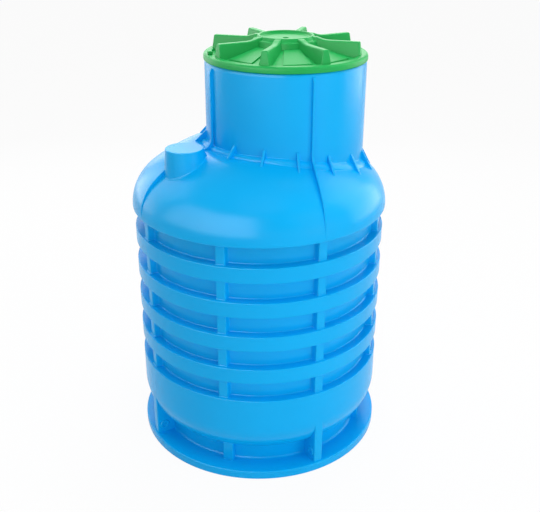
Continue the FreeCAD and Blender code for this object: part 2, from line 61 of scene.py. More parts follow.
class Body(Enum):
    """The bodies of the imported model."""

    TANK = "tank"
    LID = "lid"


class Slot(Enum):
    """The record's material slots."""

    SHELL = "shell"
    LID = "lid"


class Side(Enum):
    """The sides that have a seam rib and a fin, in order round the chamber."""

    RIGHT = "right"
    BACK = "back"
    LEFT = "left"
    FRONT = "front"


class Sock:
    """A shader socket that adds Math nodes when it stands in an expression."""

    def __init__(self, shade: "Shade", socket: bpy.types.NodeSocket) -> None:
        """Keep the socket and the material that it belongs to."""
        self.shade = shade
        self.socket = socket

    def _math(self, operation: str, first: Value, second: Value) -> "Sock":
        """Add one Math node and return its result."""
        return self.shade.node("ShaderNodeMath", {"operation": operation}, {0: first, 1: second})

    def __add__(self, other: Value) -> "Sock":
        """Return the sum."""
        return self._math("ADD", self, other)

    __radd__ = __add__

    def __sub__(self, other: Value) -> "Sock":
        """Return the difference."""
        return self._math("SUBTRACT", self, other)

    def __rsub__(self, other: Value) -> "Sock":
        """Return the difference, the other way round."""
        return self._math("SUBTRACT", other, self)

    def __mul__(self, other: Value) -> "Sock":
        """Return the product."""
        return self._math("MULTIPLY", self, other)

    __rmul__ = __mul__


@dataclass(frozen=True)
class Speckle:
    """A noise: its cells in a metre, its octaves and the weight of the finer ones."""

    scale: float
    detail: float
    roughness: float = 0.5


class Shade:
    """A node material under construction."""

    def __init__(self, name: str) -> None:
        """Start an empty material.

        Args:
            name: The material's name.
        """
        self.material = bpy.data.materials.new(name)
        self.material.use_nodes = True
        self.tree = self.material.node_tree
        self.tree.nodes.clear()

    def node(self, kind: str, settings: dict | None = None, sockets: dict | None = None,
             output: int | str = 0) -> Sock | None:
        """Add one node.

        Args:
            kind: The node's type.
            settings: Properties that are set before the sockets.
            sockets: Values or links by socket name or number.
            output: Which of its outputs to return.

        Returns:
            The chosen output, or nothing for a node without outputs.
        """
        made = self.tree.nodes.new(kind)
        for name, setting in (settings or {}).items():
            setattr(made, name, setting)
        for key, item in (sockets or {}).items():
            if isinstance(item, Sock):
                self.tree.links.new(item.socket, made.inputs[key])
            else:
                made.inputs[key].default_value = item
        return Sock(self, made.outputs[output]) if made.outputs else None

    def noise(self, speckle: Speckle) -> Sock:
        """Add a noise that reads Object coordinates and return its value."""
        place = self.node("ShaderNodeTexCoord", output="Object")
        return self.node("ShaderNodeTexNoise", {"noise_dimensions": "3D"}, {
            "Vector": place, "Scale": speckle.scale, "Detail": speckle.detail, "Roughness": speckle.roughness})

    def mix(self, factor: Value, first: Value, second: Value) -> Sock:
        """Mix two colours by the share of the second and return the mixed colour."""
        return self.node("ShaderNodeMix", {"data_type": "RGBA", "clamp_factor": True},
                         {0: factor, 6: first, 7: second}, output=2)

    def finish(self, surface: Sock) -> bpy.types.Material:
        """Give the material its surface and return it."""
        self.node("ShaderNodeOutputMaterial", {}, {"Surface": surface})
        return self.material


@dataclass(frozen=True)
class MouldedPlastic:
    """Rotomoulded polyethylene: satin, faintly mottled, with a fine orange peel."""

    name: str
    slot: Slot
    deep: Colour
    pale: Colour
    roughness: float
    specular: float = 0.14
    ior: float = 1.5
    cloud: Speckle = Speckle(2.6, 3.0, 0.55)
    peel: Speckle = Speckle(95.0, 2.0)
    grain: Speckle = Speckle(620.0, 2.0, 0.6)
    cloud_tint: float = 1.5
    cloud_shift: float = 0.35
    grain_tint: float = 0.2
    cloud_gloss: float = 0.10
    grain_gloss: float = 0.08
    peel_rise: float = 0.8
    grain_rise: float = 0.12
    bump: float = 0.22
    bump_depth: float = 0.0005

    def make(self) -> bpy.types.Material:
        """Build the finish.

        Returns:
            The node material.
        """
        shade = Shade(self.name)
        cloud, peel, grain = (shade.noise(speckle) for speckle in (self.cloud, self.peel, self.grain))
        tone = cloud * self.cloud_tint - self.cloud_shift + grain * self.grain_tint
        rough = (self.roughness + (cloud - NOISE_MIDDLE) * self.cloud_gloss
                 + (grain - NOISE_MIDDLE) * self.grain_gloss)
        normal = shade.node("ShaderNodeBump", {}, {
            "Strength": self.bump, "Distance": self.bump_depth,
            "Height": peel * self.peel_rise + grain * self.grain_rise})
        return shade.finish(shade.node("ShaderNodeBsdfPrincipled", {}, {
            "Base Color": shade.mix(tone, self.deep, self.pale), "Roughness": rough, "Normal": normal,
            "IOR": self.ior, "Specular IOR Level": self.specular}))


FINISHES = {
    Body.TANK: MouldedPlastic("blue_polyethylene", Slot.SHELL,
                              (0.000, 0.405, 0.85, 1.0), (0.003, 0.450, 0.91, 1.0), 0.25),
    Body.LID: MouldedPlastic("green_polyethylene", Slot.LID,
                             (0.006, 0.345, 0.065, 1.0), (0.020, 0.42, 0.10, 1.0), 0.40),
}


def polar(radius: float, angle: float, centre: Point = (0.0, 0.0)) -> Point:
    """Return the point at a radius and an angle about a centre."""
    return centre[0] + radius * math.cos(angle), centre[1] + radius * math.sin(angle)


def bends(*degrees: float) -> list[Point]:
    """Return the cosine and the sine of each angle."""
    return [polar(1.0, math.radians(angle)) for angle in degrees]


def arc_points(centre: Point, radius: float, start: float, end: float, count: int) -> list[Point]:
    """Return points along an arc.

    Args:
        centre: The arc's centre.
        radius: Its radius.
        start: Its first angle, in degrees.
        end: Its last angle, in degrees.
        count: Number of steps.

    Returns:
        The points, both ends included.
    """
    steps = [math.radians(start + (end - start) * i / count) for i in range(count + 1)]
    return [polar(radius, angle, centre) for angle in steps]


def circle_points(radius: float, count: int, centre: Point = (0.0, 0.0)) -> list[Point]:
    """Return the plan of a circle's points in order, from +X towards +Y."""
    return [polar(radius, FULL_TURN * i / count, centre) for i in range(count)]


def level(plan: Iterable[Point], height: float) -> list[Place]:
    """Return the places of a plan at one height."""
    return [(x, y, height) for x, y in plan]


def upright(offset: float, angle: float) -> Matrix:
    """Return the upright plane at an angle through an axis that is offset along X."""
    return Matrix.Translation((offset, 0.0, 0.0)) @ Matrix.Rotation(angle, 4, "Z")


def of_kind(items: Iterable, kind: type) -> list:
    """Return the points, the edges or the faces among an operator's results."""
    return [item for item in items if isinstance(item, kind)]


def faces_at(verts: Iterable[BMVert]) -> list[BMFace]:
    """Return the faces that meet at points, each once."""
    return list(dict.fromkeys(face for vert in verts for face in vert.link_faces))


def edges_at(verts: Iterable[BMVert]) -> list[BMEdge]:
    """Return the edges that meet at points, each once."""
    return list(dict.fromkeys(edge for vert in verts for edge in vert.link_edges))


def creases(edges: Iterable[BMEdge], angle: float) -> list[BMEdge]:
    """Return the edges between two faces that turn by more than an angle, in degrees."""
    limit = math.radians(angle)
    return [e for e in edges if len(e.link_faces) == 2 and e.calc_face_angle() > limit]


class Form:
    """A mesh under construction, shaped by bmesh operators."""

    def __init__(self) -> None:
        """Start an empty mesh."""
        self.bm = bmesh.new()

    def circle(self, radius: float, height: float, count: int, centre: Point = (0.0, 0.0)) -> list[BMVert]:
        """Add a level circle.

        Args:
            radius: Its radius.
            height: Its height.
            count: Number of points.
            centre: Its centre in plan.

        Returns:
            Its points in order, from +X towards +Y.
        """
        spot = Matrix.Translation((*centre, height))
        made = bmesh.ops.create_circle(self.bm, segments=count, radius=radius, matrix=spot)["verts"]
        return sorted(made, key=lambda v: math.atan2(v.co.y - centre[1], v.co.x - centre[0]) % FULL_TURN)

    def chain(self, points: Iterable[Sequence[float]]) -> list[BMVert]:
        """Add a line of edges.

        Args:
            points: The places that it runs through.

        Returns:
            Its points in order.
        """
        verts = [self.bm.verts.new(point) for point in points]
        for pair in zip(verts, verts[1:]):
            self.bm.edges.new(pair)
        return verts

    @staticmethod
    def edges_of(line: list[BMVert], closed: bool = True) -> list[BMEdge]:
        """Return the edges along a line of points, back to its start where it is closed."""
        pairs = zip(line, line[1:] + line[:1] if closed else line[1:])
        return [next(e for e in a.link_edges if e.other_vert(a) is b) for a, b in pairs]

    def grow(self, line: list[BMVert], places: Iterable[Sequence[float]], closed: bool = True) -> list[BMVert]:
        """Extrude a line of points to new places.

        Args:
            line: The last line's points, in order.
            places: The new line's places, in the same order.
            closed: Whether the line runs back to its start.

        Returns:
            The new line's points, in the same order.
        """
        made = bmesh.ops.extrude_edge_only(self.bm, edges=self.edges_of(line, closed))["geom"]
        fresh = set(of_kind(made, BMVert))
        grown = [next(e.other_vert(v) for e in v.link_edges if e.other_vert(v) in fresh) for v in line]
        for vert, place in zip(grown, places):
            vert.co = place
        return grown

    def lift(self, loop: list[BMVert], height: float) -> list[BMVert]:
        """Extrude a loop straight up to a height and return the new loop."""
        return self.grow(loop, level([vert.co.xy for vert in loop], height))

    def close(self, loop: list[BMVert]) -> BMFace:
        """Close a loop with one face."""
        return self.bm.faces.new(loop)

    def turned(self, outline: Iterable[Point], count: int, centre: Point = (0.0, 0.0)) -> None:
        """Spin an outline through a full turn about an upright axis, as the form's first shape.

        Args:
            outline: Points of radius and height.
            count: Steps in the turn.
            centre: The axis in plan.
        """
        line = self.chain([(centre[0] + radius, centre[1], height) for radius, height in outline])
        bmesh.ops.spin(self.bm, geom=[*line, *self.edges_of(line, False)], cent=(*centre, 0.0),
                       axis=(0.0, 0.0, 1.0), angle=FULL_TURN, steps=count, use_merge=True)
        bmesh.ops.remove_doubles(self.bm, verts=self.bm.verts, dist=MERGE)
        self.outward()

    def thicken(self, faces: list[BMFace], shift: Place) -> tuple[list[BMVert], list[BMFace]]:
        """Extrude faces by a shift.

        Args:
            faces: The faces.
            shift: How far and where they go.

        Returns:
            The points and the faces at the far end.
        """
        made = bmesh.ops.extrude_face_region(self.bm, geom=faces)["geom"]
        verts = of_kind(made, BMVert)
        bmesh.ops.translate(self.bm, verts=verts, vec=shift)
        return verts, of_kind(made, BMFace)

    def move(self, place: Matrix, verts: Sequence[BMVert] | None = None) -> None:
        """Move some points, or all of them, to a place."""
        bmesh.ops.transform(self.bm, matrix=place, verts=self.bm.verts if verts is None else verts)

    def settle(self, verts: list[BMVert], place: Matrix) -> None:
        """Move a part of the form to its place and turn its faces outwards."""
        self.move(place, verts)
        bmesh.ops.recalc_face_normals(self.bm, faces=faces_at(verts))

    def plate(self, outline: Iterable[Point], thickness: float,
              place: Matrix) -> tuple[list[BMFace], list[BMEdge]]:
        """Add an upright plate, drawn in its own plane and extruded to both sides.

        Args:
            outline: Points along and up the plane.
            thickness: The plate's thickness.
            place: The plane's place: X along, Y across, Z up.

        Returns:
            Its two faces, and the edges round them.
        """
        verts = [self.bm.verts.new((x, -thickness / 2.0, z)) for x, z in outline]
        near = self.close(verts)
        far_verts, (far, *_) = self.thicken([near], (0.0, thickness, 0.0))
        self.settle(verts + far_verts, place)
        return [near, far], [*near.edges, *far.edges]

    def pierce(self, faces: Iterable[BMFace], centre: Vector, axis: Vector, radius: float, count: int) -> None:
        """Cut a round hole through a plate.

        Args:
            faces: The plate's two faces.
            centre: The hole's centre, inside the plate.
            axis: The plate's normal.
            radius: The hole's radius.
            count: Points round the hole.
        """
        rings = []
        for face in faces:
            border = list(face.edges)
            depth = (face.calc_center_median() - centre).dot(axis)
            bmesh.ops.delete(self.bm, geom=[face], context="FACES_ONLY")
            spot = Matrix.Translation(centre + axis * depth) @ axis.to_track_quat("Z", "Y").to_matrix().to_4x4()
            ring = bmesh.ops.create_circle(self.bm, segments=count, radius=radius, matrix=spot)["verts"]
            edges = edges_at(ring)
            bmesh.ops.triangle_fill(self.bm, edges=border + edges, use_beauty=True)
            rings += edges
        bmesh.ops.bridge_loops(self.bm, edges=rings)

    def bevel(self, edges: list[BMEdge], size: float, segments: int) -> None:
        """Round edges over, by a reach from the edge and in a number of segments."""
        bmesh.ops.bevel(self.bm, geom=edges, offset=size, offset_type="OFFSET", segments=segments,
                        profile=0.5, affect="EDGES", clamp_overlap=True, material=-1)

    def outward(self) -> None:
        """Turn all faces outwards."""
        bmesh.ops.recalc_face_normals(self.bm, faces=self.bm.faces)

    def place(self, name: str, material: bpy.types.Material) -> bpy.types.Object:
        """Turn the form into an object of the scene.

        Args:
            name: The object's name.
            material: What it is made of.

        Returns:
            The object.
        """
        mesh = bpy.data.meshes.new(name)
        self.bm.to_mesh(mesh)
        self.bm.free()
        mesh.materials.append(material)
        made = bpy.data.objects.new(name, mesh)
        bpy.context.scene.collection.objects.link(made)
        return made


class Piece:
    """A finished piece of the visual model."""

    materials: dict[Body, bpy.types.Material] = {}

    @classmethod
    def make(cls, name: str, form: Form, body: Body, nodes: Sequence[str],
             smooth: float = 38.0) -> bpy.types.Object:
        """Turn a form into an object that rides on a body and has the body's finish.

        Args:
            name: The piece's name.
            form: Its mesh.
            body: The body that it moves with.
            nodes: The CAD nodes that it stands for.
            smooth: Edges that turn by more than this, in degrees, stay sharp.

        Returns:
            The object.
        """
        finish = FINISHES[body]
        if body not in cls.materials:
            cls.materials[body] = finish.make()
        piece = form.place(name, cls.materials[body])
        piece.data.polygons.foreach_set("use_smooth", [True] * len(piece.data.polygons))
        piece.data.set_sharp_from_angle(angle=math.radians(smooth))
        piece.modifiers.new("even_shading", "WEIGHTED_NORMAL").keep_sharp = True
        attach(piece, body.value)
        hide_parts(*nodes)
        return piece


@dataclass(frozen=True)
class DomeCurve:
    """The shoulder's meridian: a crown arc, flattened at the apex, that runs on into a knuckle arc."""

    edge_radius: float = 0.608
    knuckle_radius: float = 0.202
    knuckle_angle: float = math.radians(52.4)
    spring: float = 1.2185
    flat: float = 1.4960
    blend: float = 0.004

    @property
    def centre(self) -> float:
        """Radius at which the knuckle's arc has its centre."""
        return self.edge_radius - self.knuckle_radius

    @property
    def crown(self) -> float:
        """Radius of the crown's arc."""
        return self.knuckle_radius + self.centre / math.cos(self.knuckle_angle)

    @property
    def crown_level(self) -> float:
        """Height of the crown arc's centre."""
        return self.spring - (self.crown - self.knuckle_radius) * math.sin(self.knuckle_angle)

    @property
    def crown_length(self) -> float:
        """Length of the meridian on the crown."""
        return self.crown * (RIGHT_ANGLE - self.knuckle_angle)

    @property
    def length(self) -> float:
        """Length of the meridian from the apex to the spring."""
        return self.crown_length + self.knuckle_radius * self.knuckle_angle

    def run(self, radius: float) -> float:
        """Find a radius on the meridian.

        Args:
            radius: Distance from the chamber's axis.

        Returns:
            The length along the meridian, from the apex.
        """
        if radius <= self.crown * math.cos(self.knuckle_angle):
            return self.crown * math.asin(radius / self.crown)
        share = max(-1.0, min(1.0, (radius - self.centre) / self.knuckle_radius))
        return self.crown_length + self.knuckle_radius * (self.knuckle_angle - math.acos(share))

    def knuckle_turn(self, run: float) -> float:
        """Return the angle over the level on the knuckle, at a length along the meridian."""
        return self.knuckle_angle - (run - self.crown_length) / self.knuckle_radius

    def at(self, run: float) -> Point:
        """Find the meridian's point at a length.

        Args:
            run: The length along the meridian, from the apex.

        Returns:
            The point's radius and height.
        """
        if run > self.crown_length:
            return polar(self.knuckle_radius, self.knuckle_turn(run), (self.centre, self.spring))
        angle = run / self.crown
        over = (self.crown_level + self.crown * math.cos(angle) - self.flat) / self.blend
        return self.crown * math.sin(angle), self.flat - self.blend * math.log(1.0 + math.exp(-over))

    def normal(self, run: float) -> Point:
        """Find the normal at a length along the meridian.

        Args:
            run: The length along the meridian, from the apex.

        Returns:
            The normal's outward and upward parts.
        """
        if run > self.crown_length:
            return polar(1.0, self.knuckle_turn(run))
        return math.sin(run / self.crown), math.cos(run / self.crown)

    def height(self, x: float, y: float) -> float:
        """Return the dome's height over a point of the plan."""
        return self.at(self.run(min(math.hypot(x, y), self.edge_radius)))[1]

    def draped(self, plan: Iterable[Point], rise: float) -> list[Place]:
        """Return the places of a plan at a rise over the dome."""
        return [(x, y, self.height(x, y) + rise) for x, y in plan]


@dataclass
class Chamber:
    """The flange, the foot, the bowl and the ribbed wall, as one hollow moulding."""

    body_radius: float = 0.600
    flange_radius: float = 0.610
    flange_height: float = 0.044
    flange_round: float = 0.007
    foot_radius: float = 0.505
    foot_fillet: float = 0.012
    bowl_radius: float = 0.180
    bowl_spring: float = 0.280
    bowl_round: float = 0.010
    bowl_steps: int = 12
    barrel_height: float = 0.440
    window_height: float = 0.0945
    band_height: float = 0.0745
    recess_depth: float = 0.045
    post_width: float = 0.044
    post_inset: float = 0.014
    post_round: float = 0.004
    post_draft: float = 0.003
    wall: float = 0.010
    floor_level: float = 0.012
    tuck: float = 0.015
    mouth_round: float = 0.0045
    recess_fillet: float = 0.0065
    rows: int = 5
    bays: int = 8
    window_steps: int = 20
    turn_steps: int = 4
    quarter: tuple[Point, ...] = tuple(bends(0.0, 30.0, 60.0, 90.0))

    def bowl_level(self, radius: float) -> float:
        """Return the bowl's height at a radius."""
        reach = (radius - self.body_radius + self.bowl_radius) / self.bowl_radius
        return self.bowl_spring - self.bowl_radius * math.sin(math.acos(reach))

    def bowl(self, offset: float) -> list[Point]:
        """Draw the bowl's arc, with a rounded turn at the foot wall.

        Args:
            offset: How deep the skin lies under the outside.

        Returns:
            Radii and heights from the foot wall up.
        """
        centre = (self.body_radius - self.bowl_radius, self.bowl_spring)
        foot, radius = self.foot_radius - offset, self.bowl_radius - offset
        turn = self.bowl_round
        inner = math.acos((foot + turn - centre[0]) / (radius + turn))
        spot = (foot + turn, self.bowl_spring - (radius + turn) * math.sin(inner))
        meet = 180.0 - math.degrees(inner)
        return (arc_points(spot, turn, 180.0, meet, self.turn_steps)
                + arc_points(centre, radius, -math.degrees(inner), 0.0, self.bowl_steps)[1:])

    def base(self, offset: float) -> list[Point]:
        """Draw a skin's outline from the floor up to the wall.

        Args:
            offset: How deep the skin lies under the outside.

        Returns:
            Radii and heights. The outer skin has the flange, the inner one starts at the floor.
        """
        foot = self.foot_radius - offset
        if offset:
            return [(foot, self.floor_level)] + self.bowl(offset)
        rim, turn, fillet = self.flange_radius - self.flange_round, self.flange_round, self.foot_fillet
        points = arc_points((rim, turn), turn, -90.0, 0.0, self.turn_steps)
        points += arc_points((rim, self.flange_height - turn), turn, 0.0, 90.0, self.turn_steps)
        points += arc_points((foot + fillet, self.flange_height + fillet), fillet, 270.0, 180.0, self.turn_steps)
        return points + self.bowl(offset)

    def row(self, low: float, high: float, offset: float) -> list[Place]:
        """Draw the rings of one row of windows, from the band below to the band above.

        Args:
            low: Height of the sills.
            high: Height of the heads.
            offset: How deep the skin lies under the outside.

        Returns:
            Each ring's radius and height, and how much of a line's sink it takes.
        """
        radius, mouth, fillet = self.body_radius - offset, self.mouth_round, self.recess_fillet
        half = [(radius - mouth * (1.0 - c), mouth * (s - 1.0), 0.0) for c, s in self.quarter]
        half += [(radius + fillet * (1.0 - s), fillet * (1.0 - c), 1.0) for c, s in self.quarter]
        return ([(r, low - offset + rise, share) for r, rise, share in half]
                + [(r, high + offset - rise, share) for r, rise, share in reversed(half)])

    def rings(self, offset: float) -> list[Place]:
        """Draw all rings of a skin.

        Args:
            offset: How deep the skin lies under the outside.

        Returns:
            Each ring's radius, height and share of a line's sink, from the floor up.
        """
        made = level(self.base(offset), 0.0)
        pitch = self.window_height + self.band_height
        for number in range(self.rows):
            low = self.barrel_height + pitch * number
            made += self.row(low, low + self.window_height, offset)
        top = self.barrel_height + pitch * self.rows - self.band_height + self.wall + self.tuck
        return made + [(self.body_radius - offset, top, 0.0)]

    def lines(self, offset: float) -> list[Point]:
        """Draw the upright lines of a skin.

        Args:
            offset: How deep the skin lies under the outside.

        Returns:
            Each line's angle and sink, once round from the middle of a post.
        """
        radius, half = self.body_radius - offset, self.post_width / 2.0 - offset
        turn, fillet, depth, inset = self.post_round, self.recess_fillet, self.recess_depth, self.post_inset
        foot = half + self.post_draft
        side = [(0.0, inset)]
        side += [(half - turn * (1.0 - s), inset + turn * (1.0 - c)) for c, s in self.quarter]
        side += [(foot + fillet * (1.0 - c), depth - fillet * (1.0 - s)) for c, s in self.quarter]
        first = [(along / (radius - sink), sink) for along, sink in side]
        step, start, steps = FULL_TURN / self.bays, first[-1][0], self.window_steps
        bay = first + [(start + (step - 2.0 * start) * i / steps, depth) for i in range(1, steps)]
        bay += [(step - angle, sink) for angle, sink in reversed(first[1:])]
        return [(step * number + angle, sink) for number in range(self.bays) for angle, sink in bay]

    def add_skin(self, form: Form, offset: float) -> list[BMEdge]:
        """Add one skin of the moulding.

        Args:
            form: The form.
            offset: How deep the skin lies under the outside.

        Returns:
            The edges of its open top.
        """
        lines, rings = self.lines(offset), self.rings(offset)
        loops = [[(*polar(radius - sink * share, angle), height) for angle, sink in lines]
                 for radius, height, share in rings]
        loop = form.circle(*rings[0][:2], len(lines))
        for vert, place in zip(loop, loops[0]):
            vert.co = place
        form.close(loop)
        for places in loops[1:]:
            loop = form.grow(loop, places)
        return form.edges_of(loop)

    def build(self) -> list[bpy.types.Object]:
        """Build the moulding.

        Returns:
            Its piece.
        """
        form = Form()
        edges = self.add_skin(form, 0.0) + self.add_skin(form, self.wall)
        bmesh.ops.bridge_loops(form.bm, edges=edges)
        form.outward()
        nodes = ["base_flange", "floor_plate", "foot_wall", "lower_barrel"]
        nodes += ["wall_bay_%d" % (bay + 1) for bay in range(self.bays)]
        return [Piece.make("chamber_shell", form, Body.TANK, nodes)]


@dataclass
class Shoulder:
    """The dome and the offset neck, joined by a raised collar."""

    dome: DomeCurve = field(default_factory=DomeCurve)
    neck_offset: float = 0.140
    neck_radius: float = 0.374
    neck_top: float = 1.876
    neck_round: Point = (0.009, 0.016)
    neck_straight: float = 0.10
    collar_width: float = 0.025
    collar_height: float = 0.015
    collar_foot: float = 0.003
    fillet: float = 0.003
    lip: float = 0.008
    ledge: float = 0.030
    wall: float = 0.010
    count: int = 256
    dome_steps: int = 26
    lip_steps: int = 4

    def around(self, radius: float) -> list[Point]:
        """Return the plan of a circle about the neck's axis."""
        return circle_points(radius, self.count, (self.neck_offset, 0.0))

    def fan_loop(self, start: float, share: float) -> list[Place]:
        """Draw a loop between the collar's foot and the dome's edge.

        Args:
            start: Radius of the collar's foot about the neck's axis.
            share: How far the loop is on its way to the dome's edge.

        Returns:
            The loop's places.
        """
        places = []
        for number, (x, y) in enumerate(self.around(start)):
            first, turn = self.dome.run(math.hypot(x, y)), math.atan2(y, x)
            swing = (FULL_TURN * number / self.count - turn + math.pi) % FULL_TURN - math.pi
            radius, height = self.dome.at(first + (self.dome.length - first) * share)
            places.append((*polar(radius, turn + swing * share), height))
        return places

    def neck_loops(self) -> list[list[Place]]:
        """Draw the neck's rim and wall and the collar.

        Returns:
            The places of each loop, from the rim down to the collar's foot.
        """
        neck, top, fillet, turn = self.neck_radius, self.neck_top, self.fillet, self.neck_round
        inner, width, rise = neck + fillet, neck + self.collar_width, self.collar_height
        made = [level(self.around(neck - turn[0] * (1.0 - c)), top - turn[1] * (1.0 - s))
                for c, s in bends(75.0, 60.0, 45.0, 30.0, 15.0, 0.0)]
        made.append(level(self.around(neck), top - self.neck_straight))
        made += [self.dome.draped(self.around(neck + fillet * (1.0 - c)), rise + fillet * (1.0 - s))
                 for c, s in bends(0.0, 30.0, 60.0)]
        made += [self.dome.draped(self.around(inner + (width - inner) * s), rise * c)
                 for c, s in bends(0.0, 15.0, 30.0, 45.0, 60.0, 75.0, 88.0)]
        return made + [self.dome.draped(self.around(width + self.collar_foot), 0.0)]

    def dome_loops(self) -> list[list[Place]]:
        """Draw the dome, its rounded lower edge and the ledge under it.

        Returns:
            The places of each loop, from the collar's foot down.
        """
        foot = self.neck_radius + self.collar_width + self.collar_foot
        made = [self.fan_loop(foot, step / self.dome_steps) for step in range(1, self.dome_steps + 1)]
        edge, spring = self.dome.edge_radius - self.lip, self.dome.spring
        rims = arc_points((edge, spring), self.lip, 0.0, -90.0, self.lip_steps)[1:]
        rims.append((edge - self.ledge, spring - self.lip))
        return made + [level(circle_points(radius, self.count), height) for radius, height in rims]

    def build(self) -> list[bpy.types.Object]:
        """Build the shell.

        Returns:
            Its piece.
        """
        form = Form()
        loop = form.circle(self.neck_radius - self.neck_round[0], self.neck_top, self.count,
                           (self.neck_offset, 0.0))
        for places in self.neck_loops() + self.dome_loops():
            loop = form.grow(loop, places)
        form.outward()
        bmesh.ops.solidify(form.bm, geom=form.bm.faces[:], thickness=self.wall)
        return [Piece.make("shoulder_shell", form, Body.TANK, ["shoulder_dome", "neck_wall", "neck_collar"])]


@dataclass
class EntryBoss:
    """The flat-topped boss on the shoulder for a pipe or cable gland."""

    dome: DomeCurve = field(default_factory=DomeCurve)
    centre: Point = (-0.396, -0.034)
    radius: float = 0.094
    draft: float = 0.008
    top: float = 1.53207
    round_off: float = 0.004
    fillet: float = 0.006
    sink: float = 0.003
    top_share: float = 0.9
    foot_share: float = 1.2
    count: int = 96
    round_steps: int = 4

    def around(self, radius: float) -> list[Point]:
        """Return the plan of a circle about the boss's axis."""
        return circle_points(radius, self.count, self.centre)

    def build(self) -> list[bpy.types.Object]:
        """Build the boss.

        Returns:
            Its piece.
        """
        form = Form()
        inset, fillet = self.radius - self.draft - self.round_off, self.fillet
        loop = form.circle(inset * self.top_share, self.top, self.count, self.centre)
        form.close(loop)
        crest = arc_points((inset, self.top - self.round_off), self.round_off, 90.0, 0.0, self.round_steps)
        loops = [level(self.around(radius), height) for radius, height in crest]
        loops += [self.dome.draped(self.around(self.radius + fillet * (1.0 - c)), fillet * (1.0 - s))
                  for c, s in bends(0.0, 22.5, 45.0, 67.5, 90.0)]
        loops.append(self.dome.draped(self.around(self.radius + fillet * self.foot_share), -self.sink))
        for places in loops:
            loop = form.grow(loop, places)
        form.outward()
        return [Piece.make("entry_boss_cap", form, Body.TANK, ["entry_boss"])]


